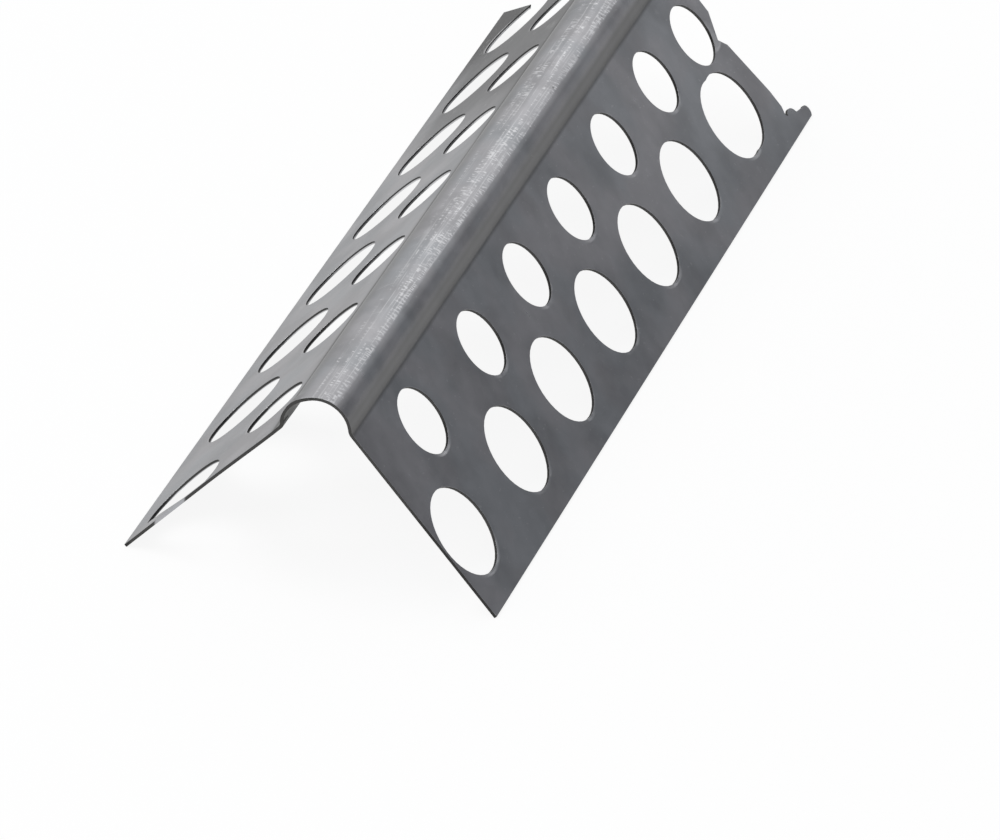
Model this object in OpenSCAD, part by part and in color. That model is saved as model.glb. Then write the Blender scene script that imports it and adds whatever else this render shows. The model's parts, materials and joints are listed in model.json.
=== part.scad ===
// Perforated corner bead for plaster and drywall: two punched flanges and a
// rolled nose, bent from one strip of galvanised sheet. This is a short offcut,
// stored as it stands on both flange edges with the nose up.
// X runs across the bead, Y along it from the near cut to the far cut, Z up.

/* [Sheet] */
// Thickness of the galvanised sheet
sheet_t = 0.35; // [0.25:0.05:1]
// Width of each flange, from the corner line of the two outer faces to its edge
flange_w = 30; // [28:0.5:45]
// Angle between the two flanges
corner_angle = 85; // [75:1:120]

/* [Nose] */
// Outer radius of the rolled nose
nose_r = 3.65; // [3:0.05:5]
// Height of the nose over the plane of each flange
nose_proud = 0.8; // [0.4:0.1:1.6]
// Radius of the hollow bend between the nose and each flange
root_r = 1; // [0.5:0.1:2]

/* [Perforation] */
// Diameter of the holes in the outer rows
outer_hole_d = 10.2; // [8:0.1:12]
// Diameter of the holes in the inner rows
inner_hole_d = 7.8; // [5:0.1:9]
// Distance of the outer rows from the corner line, along the flange
outer_row = 21.7; // [20:0.1:23]
// Distance of the inner rows from the corner line, along the flange
inner_row = 11.7; // [11:0.1:13]
// Distance from the near cut to the first outer hole of the right flange
first_hole = 5.4; // [5.4:0.1:14]
// Spacing of the first two holes of a row, across the gap between two punch strokes
stroke_gap = 18.3; // [13:0.1:30]
// Spacing of the other holes of a row
pitch = 16.1; // [13:0.1:30]
// Distance along the bead from an outer hole to the inner hole that follows it
stagger = 7.7; // [6:0.1:10]
// Shift of the left flange's holes towards the near cut
left_shift = 3.2; // [0:0.1:5]
// Slip between the two punch strokes that overlap at the last outer hole of the right flange
stroke_slip = 1.7; // [0.5:0.1:4]
// Offset of three holes out of line: both end inner ones on the right, the first outer one on the left
stroke_drift = 0.6; // [0.1:0.05:1]

/* [Cut ends] */
// Length of the nose, from the near cut to the far cut
length = 115.4; // [60:0.2:400]
// How far the near cut slants out at the rim of the left flange
near_slant = 0.95; // [0.2:0.05:3]
// Width of the web left between the near cut and the outer hole of each flange beside it
near_web = 0.3; // [0.2:0.1:3]
// How much wider the web of the left flange gets towards the rim, where it is pushed back into the hole
web_push = 1.3; // [0.6:0.1:2]
// Sheet left between the far cut and the inner hole beside it
far_web = 2.4; // [1.5:0.1:4]
// Distance from the corner line at which the slanted snip of the left flange starts
snip_start = 14.9; // [8:0.1:20]
// Slant of that snip, from a square cut
snip_angle = 45; // [30:1:55]
// Distance from the corner line at which the nick in the far cut of the right flange starts
nick_start = 12.3; // [11:0.1:14]
// Width of that nick
nick_w = 2.9; // [2:0.1:4]
// Depth of that nick
nick_depth = 2.3; // [1.5:0.1:3]
// Width of the torn strip that stands past the far cut at the rim of the right flange
strip_w = 3; // [2.6:0.1:3.5]
// Length of that strip past the far cut
strip_l = 4.9; // [4:0.1:12]
// Radius of the knob at the foot of that strip
knob_r = 1.25; // [1:0.05:1.4]
// Radius of the tip of that strip
tip_r = 0.8; // [0.6:0.05:1]

/* [Hidden] */
$fn = 96;

// On each flange, s is the distance from the corner line and h the height over the outer face
half_angle = corner_angle / 2;
function on_section(s, h) = [
    s * sin(half_angle) + h * cos(half_angle),
    h * sin(half_angle) - s * cos(half_angle)
];
function mirrored(points) = [for (i = [len(points) - 1:-1:0]) [-points[i].x, points[i].y]];

// Centres of the nose and of the root bend that leads out of it, tangent to both
nose_h = nose_r - nose_proud;
nose_centre = [0, -nose_h / sin(half_angle)];
root_s = nose_h / tan(half_angle) + sqrt(pow(nose_r + root_r, 2) - pow(nose_h + root_r, 2));
root_centre = on_section(root_s, root_r);

// The root bends bite this deep into the faces that they run into, so that the curves cross
bite = 0.001;
root_fn = 360;

// Margin by which a cutting shape reaches past the sheet
beyond = 2 * sheet_t;

// Near cut of the left flange, which slants out from beside the root of the nose
slant_s = root_s + root_r;
function left_near(s) = -near_slant * (s - slant_s) / (flange_w - slant_s);

// Far cut of the left flange, and the size of the whole offcut
snip_slope = tan(snip_angle);
function left_far(s) = length + (s - snip_start) * snip_slope;
far_tip = max(left_far(flange_w), length + strip_l);
middle_y = (far_tip - near_slant) / 2;
corner_z = -on_section(flange_w, -sheet_t).y;

// Torn strip of the right flange: its foot, the centres of its knob and tip, and the dip below its foot
strip_s = flange_w - strip_w;
knob = [strip_s + 1.08 * knob_r, length + 0.65 * knob_r];
tip = [flange_w - 0.94 * tip_r, length + strip_l - tip_r];
strip_dip = 0.4;

// The cut from the nick to the strip starts this far past the nick and this far short of the square cut
lip_w = 1.3;
lip_drop = 1.2;

// Place of column k along the bead, on a flange whose holes are shifted
function column_y(k, shift) = first_hole - shift + (k == 0 ? 0 : stroke_gap + (k - 1) * pitch);

// Outer holes: the first lies at some distance from the near cut, and the far cut may open the last
function outer_places(shift, near, far) = [
    for (k = 0; column_y(k, shift) < far; k = k + 1)
        [outer_row, max(column_y(k, shift), near)]
];

// Inner holes: the last keeps its web at the far cut, and both end ones may sit out of line
function inner_places(shift, drift) = [
    for (k = 0; column_y(k, shift) + stagger < length; k = k + 1)
        let (y = column_y(k, shift) + stagger, last_y = length - far_web - inner_hole_d / 2)
            k == 0 ? [inner_row - drift, y - drift] :
            y + pitch < length ? [inner_row, y] : [inner_row + drift, min(y, last_y)]
];

// All of the section that lies under a skin at some depth in the sheet: the nose, and the
// flanges out to width w, less the hollow of the root bends
module under_skin(depth, w, floor_depth) {
    flank = [
        on_section(w, -floor_depth),
        on_section(w, -depth),
        on_section(root_s, -depth),
        root_centre
    ];
    difference() {
        union() {
            translate(nose_centre) circle(r = nose_r - depth);
            polygon(concat(flank, [nose_centre], mirrored(flank)));
        }
        for (side = [-1, 1]) {
            translate([side * root_centre.x, root_centre.y])
                circle(r = root_r + depth + bite, $fn = root_fn);
        }
    }
}

// The bent sheet, between its outer and its inner skin
module section() {
    difference() {
        under_skin(0, flange_w, sheet_t + beyond);
        under_skin(sheet_t, flange_w + beyond, sheet_t + 3 * beyond);
    }
}

// A row of punched holes through the right flange
module punched_row(d, places) {
    rotate([0, 90 - half_angle, 0])
        for (place = places) {
            translate([place.x, place.y, -sheet_t - beyond])
                cylinder(d = d, h = sheet_t + 2 * beyond);
        }
}

// The first outer hole of the left flange: the near cut runs so close that it pushed the web into the hole
module pinched_hole(place) {
    hole_r = outer_hole_d / 2;
    function on_web(s, w) = [s, left_near(s) + w];
    difference() {
        translate(place) circle(r = hole_r);
        polygon([
            on_web(outer_row - 2 * hole_r, -hole_r),
            on_web(flange_w, -hole_r),
            on_web(flange_w, near_web + web_push),
            on_web(outer_row + 0.7 * hole_r, near_web + web_push),
            on_web(outer_row - 0.15 * hole_r, near_web),
            on_web(outer_row - 2 * hole_r, near_web)
        ]);
    }
}

// What was cut off past both ends of the nose and of the left flange, seen from above; s is
// negative on the left flange
module ends_offcut() {
    function from_above(s, y) = [on_section(s, 0).x, y];
    edge = flange_w + beyond;
    before = left_near(edge) - beyond;
    past = far_tip + (2 + snip_slope) * beyond;
    translate([0, 0, -corner_z - beyond])
        linear_extrude(corner_z + 2 * beyond) {
            polygon([
                from_above(-edge, before),
                from_above(edge, before),
                from_above(edge, 0),
                from_above(-slant_s, 0),
                from_above(-edge, left_near(edge))
            ]);
            polygon([
                from_above(-edge, left_far(edge)),
                from_above(-snip_start, length),
                from_above(nick_start + nick_w / 2, length),
                from_above(nick_start + nick_w / 2, past),
                from_above(-edge, past)
            ]);
        }
}

// What was cut and torn off the far end of the right flange, in the plane of that flange
module torn_offcut() {
    edge = flange_w + beyond;
    past = far_tip + 2 * beyond;
    nick_s = nick_start + nick_w;
    difference() {
        polygon([
            [nick_start - nick_w / 2, past],
            [nick_start - nick_w / 2, length + nick_depth / 2],
            [nick_s, length - nick_depth],
            [nick_s + lip_w, length - lip_drop],
            [strip_s - strip_w, length],
            [strip_s - 2 * strip_dip, length],
            [strip_s, length - strip_dip],
            [edge, length - strip_dip],
            [edge, past]
        ]);
        polygon([
            [strip_s + strip_dip / 4, length - knob_r],
            [knob.x - 0.36 * knob_r, knob.y],
            [tip.x - 0.9 * tip_r, tip.y],
            [edge + beyond, tip.y],
            [edge + beyond, length - knob_r]
        ]);
        translate(knob) circle(r = knob_r);
        translate(tip) circle(r = tip_r);
    }
}

// Lays what it is given on the right flange and takes it through the sheet
module through_flange() {
    rotate([0, 90 - half_angle, 0])
        translate([0, 0, -sheet_t - beyond])
            linear_extrude(sheet_t + 2 * beyond)
                children();
}

module corner_bead() {
    bar_start = left_near(flange_w) - beyond;
    bar_end = far_tip + beyond;
    right_outer = outer_places(0, near_web + outer_hole_d / 2, length);
    left_outer = outer_places(left_shift, 0, left_far(outer_row));
    again = right_outer[len(right_outer) - 1] + [0, stroke_slip];
    rest = [for (i = [1:1:len(left_outer) - 1]) left_outer[i]];
    color([0.62, 0.63, 0.65])
        translate([0, -middle_y, corner_z])
            difference() {
                translate([0, bar_end, 0])
                    rotate([90, 0, 0])
                        linear_extrude(bar_end - bar_start) section();
                punched_row(outer_hole_d, concat(right_outer, [again]));
                punched_row(inner_hole_d, inner_places(0, stroke_drift));
                mirror([1, 0, 0]) {
                    through_flange() pinched_hole(left_outer[0] + [stroke_drift, 0]);
                    punched_row(outer_hole_d, rest);
                    punched_row(inner_hole_d, inner_places(left_shift, 0));
                }
                ends_offcut();
                through_flange() torn_offcut();
            }
}

corner_bead();
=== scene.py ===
"""Galvanised finish and plain studio for a short offcut of perforated corner bead."""

import json
import math

import bmesh
import bpy
from bpy.props import FloatProperty, FloatVectorProperty, PointerProperty
from bpy.types import Operator, Panel, PropertyGroup
from mathutils import Matrix, Vector


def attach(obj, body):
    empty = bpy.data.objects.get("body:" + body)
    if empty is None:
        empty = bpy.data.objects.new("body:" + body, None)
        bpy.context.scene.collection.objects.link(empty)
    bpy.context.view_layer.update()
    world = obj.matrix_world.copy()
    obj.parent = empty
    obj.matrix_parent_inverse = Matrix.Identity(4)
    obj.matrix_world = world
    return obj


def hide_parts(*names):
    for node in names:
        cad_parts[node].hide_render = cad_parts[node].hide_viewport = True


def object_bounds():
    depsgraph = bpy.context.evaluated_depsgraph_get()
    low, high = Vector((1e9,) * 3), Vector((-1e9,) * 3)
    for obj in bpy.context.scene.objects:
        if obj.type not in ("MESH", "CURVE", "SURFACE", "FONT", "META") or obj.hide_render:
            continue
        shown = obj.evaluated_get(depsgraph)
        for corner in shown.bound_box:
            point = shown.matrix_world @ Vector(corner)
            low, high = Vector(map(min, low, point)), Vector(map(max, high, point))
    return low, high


bl_info = {
    "name": "Corner Bead Offcut",
    "version": (1, 0, 0),
    "blender": (4, 5, 0),
    "location": "View3D > Sidebar > Corner Bead",
    "description": "Gives a perforated corner bead its worn cuts and galvanised finish, and sets the stage",
    "category": "Object",
}

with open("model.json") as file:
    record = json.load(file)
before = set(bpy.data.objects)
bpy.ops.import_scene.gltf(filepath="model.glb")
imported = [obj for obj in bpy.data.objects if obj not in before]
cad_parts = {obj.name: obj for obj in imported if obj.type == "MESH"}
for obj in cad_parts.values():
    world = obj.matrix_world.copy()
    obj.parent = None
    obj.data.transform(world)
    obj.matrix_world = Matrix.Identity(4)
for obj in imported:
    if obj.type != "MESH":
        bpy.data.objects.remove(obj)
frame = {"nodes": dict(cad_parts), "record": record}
cad_low, cad_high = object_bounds()

MM = 0.001
NODE = "corner_bead"
CUT_EDGE = "cut_edge"
INNER_SKIN = "inner_skin"

# Distance within which two vertices are one, and the turn up to which two faces are one flat face
WELD = 0.0005 * MM
FLAT_TURN = math.radians(0.3)

# A face is skin where the cosine between its normal and its flange's is further from 0 than this.
# It is 0.68 away from 0 at the top of the nose, and 0.61 on the wall of the slanted snip.
SKIN_SLOPE = 0.64

# Run-out of the near cut on the left, in millimetres from the middle plane: its start, its peak and its end
RUN_OUT_START = 1.2
RUN_OUT_PEAK = 4.2
RUN_OUT_END = 11.5

# Flare of the nose at the near cut, in millimetres from the middle plane: where it starts and is full.
# From the same start the nose is also lifted, by a share of the flare at the peak and by none at the end.
FLARE_START = 1.2
FLARE_FULL = 3.3
LIFT_PEAK = 2.6
LIFT_END = 3.5
LIFT_SHARE = 0.5

# Heights over the middle of the nose, in millimetres, between which the flare comes in
FLARE_FOOT = -0.35
FLARE_HEAD = 0.85

# What the zinc keeps of its gloss at a grazing angle
EDGE_TINT = (0.66, 0.66, 0.66, 1)

FLOOR_PAINT = (0.86, 0.86, 0.86, 1)

# Width of the camera's sensor in millimetres, and the nearest and furthest that it sees in metres
SENSOR_WIDTH = 36
CLIP_START = 0.01
CLIP_END = 100

# The outward normal of the right flange, from one of the holes that the record states
mounts = {mount["name"]: mount for mount in frame["record"]["mounts"]}
right_normal = Vector(mounts["right_outer_hole_1"]["axis"])


class BeadFinish(PropertyGroup):
    """Edges, colours and relief of the galvanised sheet."""

    outer_round: FloatProperty(
        name="Outer Edge Radius", description="Roll-over of the punched and cut edges on the outer skin",
        default=0.025 * MM, unit="LENGTH", precision=5)
    inner_round: FloatProperty(
        name="Inner Edge Radius",
        description="Rounding of the same edges on the inner skin, where the burr was",
        default=0.01 * MM, unit="LENGTH", precision=5)
    run_out: FloatProperty(
        name="Run-out",
        description="How far the near cut runs out beside the left root, past the end of the nose",
        default=0.85 * MM, unit="LENGTH", precision=5)
    flare: FloatProperty(
        name="Flare",
        description="How far the shears pushed the left flank of the nose out at the near cut",
        default=0.36 * MM, unit="LENGTH", precision=5)
    flare_length: FloatProperty(
        name="Flare Length", description="Distance from the near cut at which the flare ends",
        default=2.6 * MM, unit="LENGTH", precision=5)
    nose_radius: FloatProperty(
        name="Nose Radius", description="Outer radius of the rolled nose, round which its marks run",
        default=3.65 * MM, unit="LENGTH", precision=5)
    root_offset: FloatProperty(
        name="Root Offset",
        description="Distance of each crease beside the nose from the middle plane of the bead",
        default=3.85 * MM, unit="LENGTH", precision=5)
    stroke_gap: FloatProperty(
        name="Stroke Gap",
        description="Spacing of the first two holes of a row, across the gap between two punch strokes",
        default=18.3 * MM, unit="LENGTH", precision=5)
    stroke_drift: FloatProperty(
        name="Stroke Drift",
        description="Offset of the right flange's first inner hole, towards the nose and the near cut",
        default=0.6 * MM, unit="LENGTH", precision=5)
    rim_width: FloatProperty(
        name="Rim Width", description="Width of the rims that the punch rolled over round the holes",
        default=0.48 * MM, unit="LENGTH", precision=5)
    zinc: FloatVectorProperty(
        name="Zinc", description="Dull zinc coating",
        default=(0.404, 0.399, 0.413), size=3, subtype="COLOR", min=0, max=1)
    cool_zinc: FloatVectorProperty(
        name="Cool Zinc", description="Blue cast in the clouds of the coating",
        default=(0.364, 0.373, 0.390), size=3, subtype="COLOR", min=0, max=1)
    # Rubbed zinc, and also the colour of the painted highlights on the nose and on the rims of the holes
    rubbed_zinc_and_highlight: FloatVectorProperty(
        name="Rubbed Zinc", description="Bright zinc where the rollers rubbed the nose",
        default=(0.680, 0.680, 0.692), size=3, subtype="COLOR", min=0, max=1)
    # Painted shade in the creases beside the nose and in the hollow inside it
    crease_shade_colour: FloatVectorProperty(
        name="Crease Dirt", description="Brownish dirt in the creases beside the nose",
        default=(0.110, 0.109, 0.106), size=3, subtype="COLOR", min=0, max=1)
    # Painted shade on the flanks of the nose
    flank_shade_colour: FloatVectorProperty(
        name="Flank Dirt", description="Dull brownish film on the flanks of the nose",
        default=(0.142, 0.142, 0.143), size=3, subtype="COLOR", min=0, max=1)
    # Painted shade on the inner skin, which lies under the bead
    inner_shade_colour: FloatVectorProperty(
        name="Dull Inside", description="Dusty coating on the inner skin",
        default=(0.150, 0.148, 0.140), size=3, subtype="COLOR", min=0, max=1)
    # Painted dark reflection towards the far end of the left flange
    dark_reflection_colour: FloatVectorProperty(
        name="Dark Patina", description="Darkened zinc towards the far end of the left flange",
        default=(0.135, 0.135, 0.137), size=3, subtype="COLOR", min=0, max=1)
    bare_steel: FloatVectorProperty(
        name="Bare Steel", description="Dark bare steel of the punched and cut edges",
        default=(0.070, 0.069, 0.068), size=3, subtype="COLOR", min=0, max=1)


class BeadStage(PropertyGroup):
    """Floor, light and camera."""

    floor_size: FloatProperty(
        name="Floor Size", description="Side of the square floor", default=8.0, unit="LENGTH")
    floor_white: FloatProperty(
        name="Floor White", description="Share of plain white in the floor, over what the lamps give it",
        default=0.90, subtype="FACTOR", min=0, max=1)
    room_left: FloatVectorProperty(
        name="Room on the Left", description="Light grey of the room on the left of the bead",
        default=(0.86, 0.865, 0.87), size=3, subtype="COLOR", min=0, max=1)
    room_right: FloatVectorProperty(
        name="Room on the Right", description="Darker grey of the room on the right of the bead",
        default=(0.240, 0.247, 0.262), size=3, subtype="COLOR", min=0, max=1)
    back_power: FloatProperty(
        name="Back Light", description="Power of the softbox behind the bead",
        default=0.26, unit="POWER")
    side_power: FloatProperty(
        name="Side Light", description="Power of the small softbox off the far end, to the right",
        default=0.0009, unit="POWER")
    key_power: FloatProperty(
        name="Key Light", description="Power of the large softbox above, to the left",
        default=10.5, unit="POWER")
    fill_power: FloatProperty(
        name="Fill Light", description="Power of the softbox in front, to the right",
        default=2.0, unit="POWER")
    lens: FloatProperty(
        name="Lens", description="Focal length on a 36 mm sensor", default=311.15, unit="CAMERA")
    aim: FloatVectorProperty(
        name="Aim", description="Point in the middle of the picture",
        default=(12.93 * MM, -42.17 * MM, 10.03 * MM), size=3, subtype="XYZ", unit="LENGTH",
        precision=5)
    distance: FloatProperty(
        name="Distance", description="Distance of the camera from its aim",
        default=908.46 * MM, unit="LENGTH")
    azimuth: FloatProperty(
        name="Azimuth", description="Turn of the camera from the near cut towards the right flange",
        default=math.radians(15.938), subtype="ANGLE")
    elevation: FloatProperty(
        name="Elevation", description="Height of the camera over the horizon",
        default=math.radians(29.833), subtype="ANGLE")
    roll: FloatProperty(
        name="Roll", description="Tilt of the camera about its own axis",
        default=math.radians(3.303), subtype="ANGLE")


class Socket:
    """An output socket of a shader. Operators on it add Math nodes, and add() any other node."""

    def __init__(self, tree, output=None):
        self.tree = tree
        self.output = output

    def add(self, kind, settings=None, inputs=None, output=0):
        """A new node with its settings and its inputs' values or links; returns one of its outputs."""
        node = self.tree.nodes.new(kind)
        for name, value in (settings or {}).items():
            setattr(node, name, value)
        for name, value in (inputs or {}).items():
            if isinstance(value, Socket):
                self.tree.links.new(value.output, node.inputs[name])
            else:
                node.inputs[name].default_value = value
        return Socket(self.tree, None if output is None else node.outputs[output])

    def math(self, operation, *values):
        return self.add("ShaderNodeMath", {"operation": operation}, dict(enumerate(values)))

    def __add__(self, other):
        return self.math("ADD", self, other)

    def __radd__(self, other):
        return self.math("ADD", other, self)

    def __sub__(self, other):
        return self.math("SUBTRACT", self, other)

    def __rsub__(self, other):
        return self.math("SUBTRACT", other, self)

    def __mul__(self, other):
        return self.math("MULTIPLY", self, other)

    def __rmul__(self, other):
        return self.math("MULTIPLY", other, self)

    def __truediv__(self, other):
        return self.math("DIVIDE", self, other)

    def __abs__(self):
        return self.math("ABSOLUTE", self)

    def ramp(self, start, end):
        """0 at start and before, 1 at end and past it, with soft ends."""
        return self.add(
            "ShaderNodeMapRange", {"interpolation_type": "SMOOTHSTEP"},
            {"Value": self, "From Min": start, "From Max": end})

    def band(self, middle, width):
        """1 at the middle value, fading to 0 at that distance from it."""
        return 1 - abs(self - middle).ramp(0, width)

    def mix(self, factor, paint):
        """This colour, changed by a factor to a colour of the finish."""
        return self.add(
            "ShaderNodeMix", {"data_type": "RGBA"},
            {"Factor": factor, 6: self, 7: (*paint, 1)}, output=2)


def noise(place, scale, detail=2.0, roughness=0.5, stretch=(1, 1, 1)):
    """Noise whose features are about 1 / scale millimetres, in a stretched space."""
    vector = place.add(
        "ShaderNodeVectorMath", {"operation": "MULTIPLY"}, {0: place, 1: [scale * s for s in stretch]})
    return place.add(
        "ShaderNodeTexNoise", {"noise_dimensions": "3D"},
        {"Vector": vector, "Scale": 1.0, "Detail": detail, "Roughness": roughness})


def cells(place, scale, output):
    """Random cells about 1 / scale millimetres wide: their distance or colour."""
    return place.add(
        "ShaderNodeTexVoronoi", {"feature": "F1"},
        {"Vector": place, "Scale": scale}, output=output)


def rolled_rims(place, row, finish, drift=0):
    """Rims that the punch rolled over at one row of holes, on the side away from the nose, where the rims
    get a painted highlight.
    """
    first, second = (mounts[f"{row}_hole_{count}"] for count in (1, 2))
    radius = first["dims"]["r_mm"]
    centre = Vector(first["pos_m"]) / MM
    pitch = (second["pos_m"][1] - first["pos_m"][1]) / MM / 2
    normal = Vector(first["axis"])
    away = Vector((normal.z, 0, -normal.x)) * math.copysign(1, normal.x)
    offset = place.add("ShaderNodeVectorMath", {"operation": "SUBTRACT"}, {0: place, 1: centre})
    down = place.add(
        "ShaderNodeVectorMath", {"operation": "DOT_PRODUCT"}, {0: offset, 1: away}, output="Value")
    over = place.add(
        "ShaderNodeVectorMath", {"operation": "DOT_PRODUCT"}, {0: offset, 1: normal}, output="Value")
    along = place.add("ShaderNodeSeparateXYZ", inputs={0: offset}, output=1)

    # The first hole lies before the gap between two punch strokes, and the others follow at the pitch
    before_gap = place.math("LESS_THAN", along, -pitch / 2)
    down = down + before_gap * (drift / MM)
    along = along + before_gap * ((finish.stroke_gap + drift) / MM)
    along = place.math("WRAP", along, pitch / 2, -pitch / 2)

    # A rim stays on its own flange, on the side away from the nose and a little towards the far end, the
    # side where its highlight is painted
    distance = place.math("SQRT", down * down + along * along)
    rim = 1 - distance.ramp(radius, radius + finish.rim_width / MM)
    rim = rim * (1 - abs(over).ramp(0.5, 1.0))
    side = ((0.97 * down + 0.25 * along) / distance).ramp(0.60, 0.95)
    return rim * side


def galvanised_material(finish):
    """Dull zinc with its mottle, rub marks, scratches, specks and bare cut edges, with painted highlights,
    painted shade and a painted dark reflection.
    """
    material = bpy.data.materials.new("galvanised_sheet")
    material.use_nodes = True
    tree = material.node_tree
    tree.nodes.clear()
    start = Socket(tree)

    # Place on the bead in millimetres, as x, y, z and as the angle round the nose
    metres = start.add("ShaderNodeTexCoord", output="Object")
    place = start.add("ShaderNodeVectorMath", {"operation": "SCALE"}, {0: metres, "Scale": 1 / MM})
    x, y, z = (start.add("ShaderNodeSeparateXYZ", inputs={0: place}, output=i) for i in range(3))
    nose_r = finish.nose_radius / MM
    angle = start.math("ARCTAN2", x, z - (cad_high.z / MM - nose_r))
    round_nose = start.add("ShaderNodeCombineXYZ", inputs={0: angle * nose_r, 1: y, 2: 0.0})
    across = abs(x)
    left = -1 * x
    from_near = y - cad_low.y / MM
    root = finish.root_offset / MM
    cut, inside = (
        start.add("ShaderNodeAttribute", {"attribute_name": name}, output="Fac")
        for name in (CUT_EDGE, INNER_SKIN))
    outside = 1 - inside
    on_nose = (1 - across.ramp(root - 1.0, root - 0.4)) * outside

    # Mottle and spangle of the coating
    cloud = noise(place, 0.11)
    mottle = noise(place, 0.45, detail=4.0, roughness=0.65)
    grain = noise(place, 5.0)
    dull = noise(place, 0.12, stretch=(1, 1.2, 1)).ramp(0.38, 0.64)
    spangle = start.add(
        "ShaderNodeSeparateColor", inputs={0: cells(place, 0.75, "Color")}, output=0)

    # Rub marks of the rollers, with a painted highlight: a band along the nose with a sharp right border,
    # lighter near that border, and rows of ticks in it; past the border the nose gets painted shade
    wander = (noise(place, 0.25, stretch=(1, 0.5, 1)) - 0.5) * 0.30
    far_half = y.ramp(-35, 0)
    border = angle - 0.05 * far_half + wander * 0.35 + (noise(round_nose, 1.6) - 0.5) * 0.06
    rub_and_highlight_band = (angle + 0.20 * far_half).ramp(-0.40, -0.10) * (1 - border.ramp(0.47, 0.57)) * on_nose
    rows = noise(round_nose, 1.0, stretch=(1.7, 0.035, 1)).ramp(0.44, 0.60)
    lines = noise(round_nose, 1.0, stretch=(4.2, 0.09, 1)).ramp(0.54, 0.64)
    ticks = noise(round_nose, 1.0, detail=1.0, stretch=(1.4, 2.8, 1)).ramp(0.49, 0.58)
    broken = noise(round_nose, 0.5, detail=3.0).ramp(0.35, 0.62)
    marks = rows * ticks * broken + 0.35 * lines
    # Real rub marks in the band, and a painted highlight that keeps it light up to the border
    rubbed = rub_and_highlight_band * (0.07 + 1.25 * marks + 0.32 * border.band(0.40, 0.16) * (0.3 + ticks))
    # Painted shade on the nose past the border of the band
    painted_terminator_shade = border.ramp(0.48, 0.56) * (1 - angle.ramp(0.50, 0.85)) * on_nose

    # Painted shade: a thin dark line in the crease beside each root, and darker flanks of the nose
    right_crease = (x + wander * 0.5).band(root - 0.05, 0.28)
    left_crease = (wander - x).band(root + 0.65, 0.45)
    ridge = (x + wander).band(root - 0.75, 0.25) * y.ramp(-40, 30)
    hollow = x.band(root - 0.72, 0.40)
    crease = (0.68 * right_crease + left_crease) * outside
    flank = (1 - across.ramp(root - 0.20, root + 0.02)) * outside
    right_flank = angle.ramp(0.82, 1.20) * flank
    left_flank = (-1 * angle).ramp(0.35, 0.92) * (1 - across.ramp(root, root + 1.8)) * outside

    # Painted dark reflection towards the far end of the left flange, with a slanting edge, and a darker
    # snipped tip
    on_left = left.ramp(3.2, 4.6)
    left_rim = across.ramp(17.0, 19.0) * (1 - y.ramp(40, 50))
    edge_of_dark_reflection = y - across * 1.1 + (cloud - 0.5) * 14
    painted_dark_reflection = edge_of_dark_reflection.ramp(-6.0, 18.0) * (1 - 0.5 * left_rim) * on_left
    dark_tip = across.ramp(14.6, 16.6) * y.ramp(42, 56) * on_left * outside

    # Rims of the holes, rolled over by the punch, with a painted highlight here and there
    rims = rolled_rims(place, "right_inner", finish, finish.stroke_drift)
    for row in ("right_outer", "left_outer", "left_inner"):
        rims = rims + rolled_rims(place, row, finish)
    near_end = 1 - from_near.ramp(12, 32)
    rim_highlight_strength = 0.2 + 0.4 * near_end + 0.4 * noise(place, 0.35).ramp(0.42, 0.60) + 0.5 * dark_tip
    rims = rims * outside * rim_highlight_strength

    # Scuffs, thin scratches and dark specks
    scuff = noise(place, 0.3, detail=4.0, roughness=0.7).ramp(0.62, 0.76)
    slant = start.add(
        "ShaderNodeMapping", inputs={"Vector": place, "Rotation": (0.2, 0.5, 0.9)})
    scratch = noise(slant, 1.0, detail=1.0, stretch=(2.6, 0.06, 2.6)).ramp(0.72, 0.75)
    speck_area = border.band(0.46, 0.13) * on_nose * y.ramp(-25, 10)
    specks = (1 - cells(round_nose, 0.85, "Distance").ramp(0.10, 0.24)) * speck_area

    # The cut walls are bare, except where zinc was smeared over them: on the web that the near cut pushed
    # back, and on the inner half of the walls of the left flange
    smeared = left.ramp(13.8, 14.1) * (1 - left.ramp(16.9, 17.2))
    smeared = smeared * (1 - from_near.ramp(0.40, 0.48))
    first_hole = Vector(mounts["right_outer_hole_1"]["pos_m"]) / MM
    depth = across * right_normal.x + z * right_normal.z - first_hole.dot(right_normal)
    depth = depth + 0.08 * (1 - y.ramp(-40, 0))
    smeared_wall = (1 - depth.ramp(-0.06, 0.04)) * on_left * from_near.ramp(1.0, 1.5)
    bare = cut * (1 - smeared) * (1 - smeared_wall)

    # Colour of the coating, with the painted dark reflection, the rub marks and painted highlights, the
    # painted shade and the bare steel laid over it in turn
    colour = start.add(
        "ShaderNodeMix", {"data_type": "RGBA"},
        {"Factor": cloud.ramp(0.38, 0.62), 6: (*finish.zinc, 1), 7: (*finish.cool_zinc, 1)}, output=2)
    # Tone of the coating: random mottle, spangle, grain and dullness, less the painted shade past the
    # border of the band on the nose
    shade = 0.87 + 0.20 * mottle + 0.05 * spangle + 0.06 * (grain - 0.5) - 0.19 * painted_terminator_shade
    shade = shade - 0.18 * (dull - 0.5)
    grey = start.add("ShaderNodeCombineColor", inputs={0: shade, 1: shade, 2: shade})
    colour = start.add(
        "ShaderNodeMix", {"data_type": "RGBA", "blend_type": "MULTIPLY"},
        {"Factor": 1.0, 6: colour, 7: grey}, output=2)
    # Lighter zinc: real scuffs and scratches, a lighter line on the right flank, and the painted highlight
    # on the hole rims
    polish_and_highlight = scuff * 0.20 + scratch * 0.25 + ridge * 0.10 + rims * 0.90
    # Painted shade on the right flank of the nose, deeper in a hollow, and on the left flank
    painted_flank_shade = right_flank * (0.92 + 0.08 * hollow) + left_flank * 0.70
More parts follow.
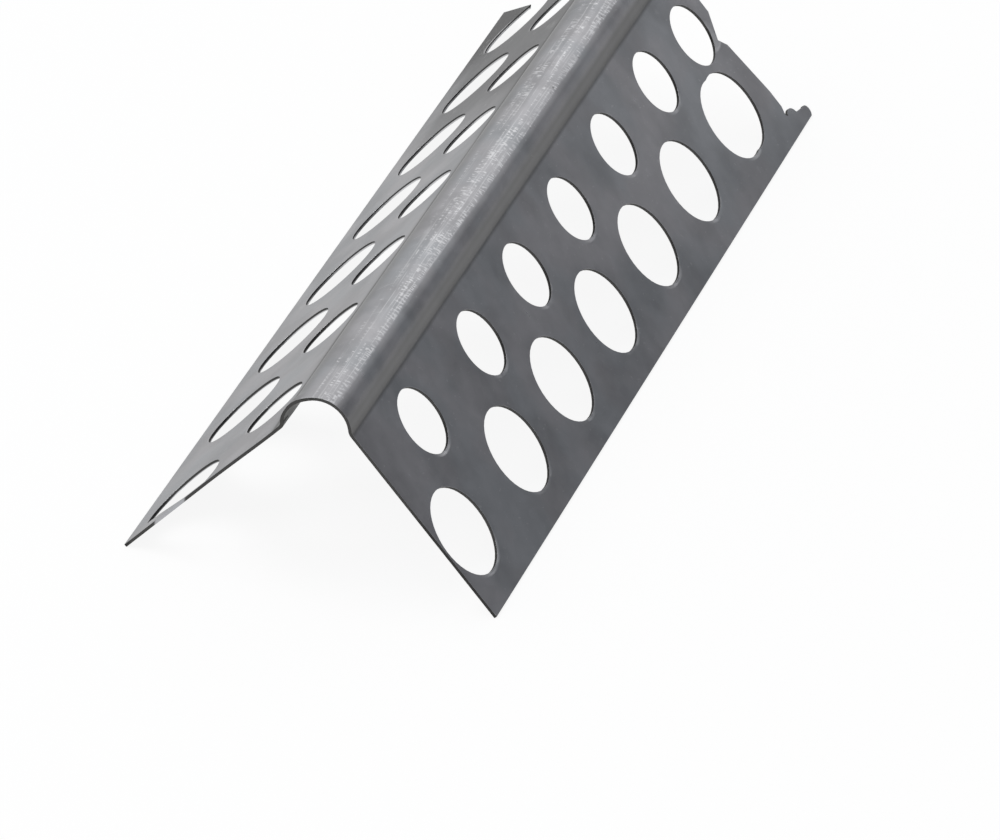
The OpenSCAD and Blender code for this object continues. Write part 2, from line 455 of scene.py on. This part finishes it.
    # Painted shade on the inner skin of the nose, in the hollow under it
    inner_hollow_shade = inside * (1 - across.ramp(root - 0.3, root + 1.0))
    colour = colour.mix(painted_dark_reflection * 0.85, finish.dark_reflection_colour)
    colour = colour.mix(dark_tip * 0.80, finish.bare_steel)
    colour = colour.mix(rubbed, finish.rubbed_zinc_and_highlight)
    colour = colour.mix(polish_and_highlight, finish.rubbed_zinc_and_highlight)
    colour = colour.mix(painted_flank_shade, finish.flank_shade_colour)
    # Painted shade in the creases beside the roots
    colour = colour.mix(crease * 0.85, finish.crease_shade_colour)
    # Painted shade on the inner skin
    colour = colour.mix(inside * 0.75, finish.inner_shade_colour)
    colour = colour.mix(inner_hollow_shade * 0.7, finish.crease_shade_colour)
    colour = colour.mix(cut * smeared_wall * 0.8, finish.rubbed_zinc_and_highlight)
    colour = colour.mix(specks, finish.bare_steel)
    colour = colour.mix(bare, finish.bare_steel)

    # Gloss and relief
    roughness = 0.31 + 0.10 * (mottle - 0.5) + 0.05 * (grain - 0.5) + 0.08 * crease + 0.05 * painted_dark_reflection
    roughness = roughness + 0.16 * bare + 0.12 * inside - 0.04 * scuff + 0.45 * dark_tip

    relief = 0.25 * mottle + 0.12 * grain + 0.08 * spangle - 0.4 * scratch
    relief = relief + rub_and_highlight_band * (0.15 * lines + 0.35 * ticks * broken) - 16 * rims
    bump = start.add(
        "ShaderNodeBump", inputs={"Strength": 0.35, "Distance": 0.02 * MM, "Height": relief})

    surface = start.add("ShaderNodeBsdfPrincipled", inputs={
        "Base Color": colour, "Metallic": 1 - 0.85 * dark_tip, "Roughness": roughness, "Normal": bump,
        "Specular Tint": EDGE_TINT})
    start.add("ShaderNodeOutputMaterial", inputs={"Surface": surface}, output=None)
    return material


def flange_normal(point):
    """Outward normal of the flange on whose side of the bead the point lies."""
    return Vector((math.copysign(right_normal.x, point.x), 0, right_normal.z))


def skin_slope(normal, centre):
    """How far a face looks out as its flange does: over 0 outside, under 0 inside, and 0 on a cut wall."""
    slope = normal.dot(flange_normal(centre))
    return slope if abs(slope) > SKIN_SLOPE else 0


def edges_of_skin(bm, outward):
    """Edges at which the outer skin, or the inner one, meets a punched or cut wall of the sheet."""
    found = []
    for edge in bm.edges:
        slopes = [skin_slope(face.normal, face.calc_center_median()) for face in edge.link_faces]
        skins = [slope for slope in slopes if slope]
        if len(skins) == 1 and (skins[0] > 0) == outward:
            found.append(edge)
    return found


def near_cut_faces(bm):
    """Faces of the near cut and of its rounded edges."""
    reach = cad_low.y + 1.2 * MM
    facing = -0.15
    return [face for face in bm.faces if face.normal.y < facing and face.calc_center_median().y < reach]


def nose_end(bm):
    """Place of the near cut along the bead, at the nose and the right flange."""
    return min(vert.co.y for vert in bm.verts if vert.co.x > 0)


def smooth_step(value, start, end):
    """0 at start and before, 1 at end and past it, with soft ends."""
    share = min(max((value - start) / (end - start), 0), 1)
    return share * share * (3 - 2 * share)


def divide_near_end(bm, finish):
    """Divides the near cut of the left flange and lays loops across the left flank of the nose."""
    longest = 2 * MM
    long_edges = dict.fromkeys(
        edge for face in near_cut_faces(bm) for edge in face.edges
        if edge.calc_length() > longest and all(vert.co.x < 0 for vert in edge.verts))
    bmesh.ops.subdivide_edges(bm, edges=list(long_edges), cuts=24)
    near = nose_end(bm)
    flank_border = -5.3 * MM
    end_facing = 0.5
    loops = 4
    for loop in range(1, loops + 1):
        flank = [
            face for face in bm.faces
            if abs(face.normal.y) < end_facing and flank_border < face.calc_center_median().x < 0]
        edges = dict.fromkeys(edge for face in flank for edge in face.edges)
        verts = dict.fromkeys(vert for face in flank for vert in face.verts)
        bmesh.ops.bisect_plane(
            bm, geom=[*verts, *edges, *flank], dist=WELD,
            plane_co=(0, near + finish.flare_length * loop / loops, 0), plane_no=(0, 1, 0))


def run_out_near_cut(bm, finish):
    """Lets the near cut run out beside the left root, where the shears stepped back to the nose."""
    for vert in {vert for face in near_cut_faces(bm) for vert in face.verts}:
        across = -vert.co.x / MM
        share = smooth_step(across, RUN_OUT_START, RUN_OUT_PEAK)
        share = share * (1 - smooth_step(across, RUN_OUT_PEAK, RUN_OUT_END))
        vert.co.y -= share * finish.run_out


def flare_nose(bm, finish):
    """Pushes the left flank of the nose out at the near cut."""
    near = nose_end(bm)
    for vert in bm.verts:
        across = -vert.co.x / MM
        fade = 1 - smooth_step(vert.co.y, near, near + finish.flare_length)
        above = (vert.co.z - cad_high.z + finish.nose_radius) / MM
        out = smooth_step(across, FLARE_START, FLARE_FULL) * smooth_step(above, FLARE_FOOT, FLARE_HEAD)
        up = LIFT_SHARE * smooth_step(across, FLARE_START, LIFT_PEAK)
        up = up * (1 - smooth_step(across, LIFT_PEAK, LIFT_END))
        vert.co.x -= out * fade * finish.flare
        vert.co.z += up * fade * finish.flare


class CORNER_BEAD_OT_sheet(Operator):
    """Copies the bent sheet, rounds its cut edges, shapes its near end and galvanises it"""

    bl_idname = "corner_bead.sheet"
    bl_label = "Galvanised Sheet"
    bl_options = {"REGISTER", "UNDO"}

    def execute(self, context):
        finish = context.scene.bead_finish
        bm = bmesh.new()
        bm.from_mesh(frame["nodes"][NODE].data)
        bmesh.ops.remove_doubles(bm, verts=bm.verts, dist=WELD)
        bmesh.ops.dissolve_limit(
            bm, angle_limit=FLAT_TURN, verts=bm.verts, edges=bm.edges, use_dissolve_boundaries=False)
        divide_near_end(bm, finish)
        for outward, size in ((True, finish.outer_round), (False, finish.inner_round)):
            bmesh.ops.bevel(
                bm, geom=edges_of_skin(bm, outward), offset=size, offset_type="OFFSET", affect="EDGES",
                segments=3, profile=0.5, material=-1)
        bmesh.ops.dissolve_degenerate(bm, dist=WELD, edges=bm.edges)
        bm.normal_update()
        run_out_near_cut(bm, finish)
        flare_nose(bm, finish)
        mesh = bpy.data.meshes.new("galvanised_bead")
        bm.to_mesh(mesh)
        bm.free()

        cut = mesh.attributes.new(CUT_EDGE, "FLOAT", "FACE")
        inside = mesh.attributes.new(INNER_SKIN, "FLOAT", "FACE")
        for face in mesh.polygons:
            slope = skin_slope(face.normal, face.center)
            cut.data[face.index].value = 0 if slope else 1
            inside.data[face.index].value = max(-slope, 0)
        mesh.shade_smooth()
        mesh.materials.append(galvanised_material(finish))

        bead = bpy.data.objects.new("galvanised_bead", mesh)
        context.scene.collection.objects.link(bead)
        normals = bead.modifiers.new("Flat skins", "WEIGHTED_NORMAL")
        normals.keep_sharp = True
        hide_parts(NODE)
        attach(bead, "root")
        return {"FINISHED"}


def floor_material(white_share):
    """Pale floor that shows white, and still takes the shadow of the bead."""
    material = bpy.data.materials.new("white_floor")
    material.use_nodes = True
    tree = material.node_tree
    tree.nodes.clear()
    start = Socket(tree)
    paint = start.add("ShaderNodeBsdfDiffuse", inputs={"Color": FLOOR_PAINT})
    glow = start.add("ShaderNodeEmission", inputs={"Color": (1, 1, 1, 1), "Strength": 1.0})
    seen, gloss, through = (
        start.add("ShaderNodeLightPath", output=name)
        for name in ("Is Camera Ray", "Is Glossy Ray", "Is Transmission Ray"))
    shown = start.math("MINIMUM", seen + gloss + through, 1.0)
    surface = start.add(
        "ShaderNodeMixShader", inputs={0: shown * white_share, 1: paint, 2: glow})
    start.add("ShaderNodeOutputMaterial", inputs={"Surface": surface}, output=None)
    return material


def room_world(stage):
    """A plain room, lighter on the left."""
    world = bpy.data.worlds.new("grey_room")
    world.use_nodes = True
    tree = world.node_tree
    tree.nodes.clear()
    start = Socket(tree)
    direction = start.add("ShaderNodeTexCoord", output="Generated")
    right = start.add("ShaderNodeSeparateXYZ", inputs={0: direction}, output=0)
    colour = start.add(
        "ShaderNodeMix", {"data_type": "RGBA"},
        {"Factor": right.ramp(-0.35, 0.45), 6: (*stage.room_left, 1), 7: (*stage.room_right, 1)}, output=2)
    background = start.add("ShaderNodeBackground", inputs={"Color": colour})
    start.add("ShaderNodeOutputWorld", inputs={"Surface": background}, output=None)
    return world


def softbox(context, name, place, target, size, power):
    """A rectangular lamp that faces the target and isn't seen itself."""
    lamp = bpy.data.lights.new(name, "AREA")
    lamp.shape = "RECTANGLE"
    lamp.size, lamp.size_y = size
    lamp.energy = power
    box = bpy.data.objects.new(name, lamp)
    box.location = place
    box.rotation_euler = (Vector(place) - Vector(target)).to_track_quat("Z", "Y").to_euler()
    box.visible_camera = False
    context.scene.collection.objects.link(box)


class CORNER_BEAD_OT_stage(Operator):
    """Adds the floor, the room's light, four softboxes and the camera"""

    bl_idname = "corner_bead.stage"
    bl_label = "Floor, Light and Camera"
    bl_options = {"REGISTER", "UNDO"}

    def execute(self, context):
        stage = context.scene.bead_stage
        context.scene.view_settings.view_transform = "Standard"

        bm = bmesh.new()
        bmesh.ops.create_grid(bm, x_segments=1, y_segments=1, size=stage.floor_size / 2)
        mesh = bpy.data.meshes.new("floor")
        bm.to_mesh(mesh)
        bm.free()
        mesh.materials.append(floor_material(stage.floor_white))
        floor = bpy.data.objects.new("floor", mesh)
        context.scene.collection.objects.link(floor)

        context.scene.world = room_world(stage)

        middle = (cad_low + cad_high) / 2
        softbox(
            context, "back_softbox", place=(0.09, 0.60, 0.36), target=middle,
            size=(0.47, 0.30), power=stage.back_power)
        softbox(
            context, "side_softbox", place=(0.054, 0.120, 0.030), target=(0.011, 0.050, 0.012),
            size=(0.04, 0.03), power=stage.side_power)
        softbox(
            context, "key_softbox", place=(-0.70, -0.20, 1.10), target=middle,
            size=(1.0, 1.0), power=stage.key_power)
        softbox(
            context, "fill_softbox", place=(0.60, -0.90, 0.50), target=middle,
            size=(0.7, 0.7), power=stage.fill_power)

        camera = bpy.data.objects.new("camera", bpy.data.cameras.new("camera"))
        camera.data.sensor_width = SENSOR_WIDTH
        camera.data.lens = stage.lens
        back = Vector((
            math.sin(stage.azimuth) * math.cos(stage.elevation),
            -math.cos(stage.azimuth) * math.cos(stage.elevation),
            math.sin(stage.elevation)))
        turn = back.to_track_quat("Z", "Y").to_matrix().to_4x4()
        place = Matrix.Translation(Vector(stage.aim) + back * stage.distance)
        camera.matrix_world = place @ turn @ Matrix.Rotation(stage.roll, 4, "Z")
        camera.data.clip_start = CLIP_START
        camera.data.clip_end = CLIP_END
        context.scene.collection.objects.link(camera)
        context.scene.camera = camera
        return {"FINISHED"}


class CORNER_BEAD_PT_panel(Panel):
    """Sizes, colours and steps of the corner bead"""

    bl_idname = "CORNER_BEAD_PT_panel"
    bl_label = "Corner Bead"
    bl_space_type = "VIEW_3D"
    bl_region_type = "UI"
    bl_category = "Corner Bead"

    def draw(self, context):
        for operator, group in (
            (CORNER_BEAD_OT_sheet, context.scene.bead_finish),
            (CORNER_BEAD_OT_stage, context.scene.bead_stage),
        ):
            column = self.layout.column(align=True)
            for name in group.__annotations__:
                column.prop(group, name)
            column.operator(operator.bl_idname)


classes = (BeadFinish, BeadStage, CORNER_BEAD_OT_sheet, CORNER_BEAD_OT_stage, CORNER_BEAD_PT_panel)


def register():
    for cls in classes:
        bpy.utils.register_class(cls)
    bpy.types.Scene.bead_finish = PointerProperty(type=BeadFinish)
    bpy.types.Scene.bead_stage = PointerProperty(type=BeadStage)


def unregister():
    del bpy.types.Scene.bead_stage
    del bpy.types.Scene.bead_finish
    for cls in reversed(classes):
        bpy.utils.unregister_class(cls)


def main():
    register()
    bpy.ops.corner_bead.sheet()
    bpy.ops.corner_bead.stage()


if __name__ == "__main__":
    main()
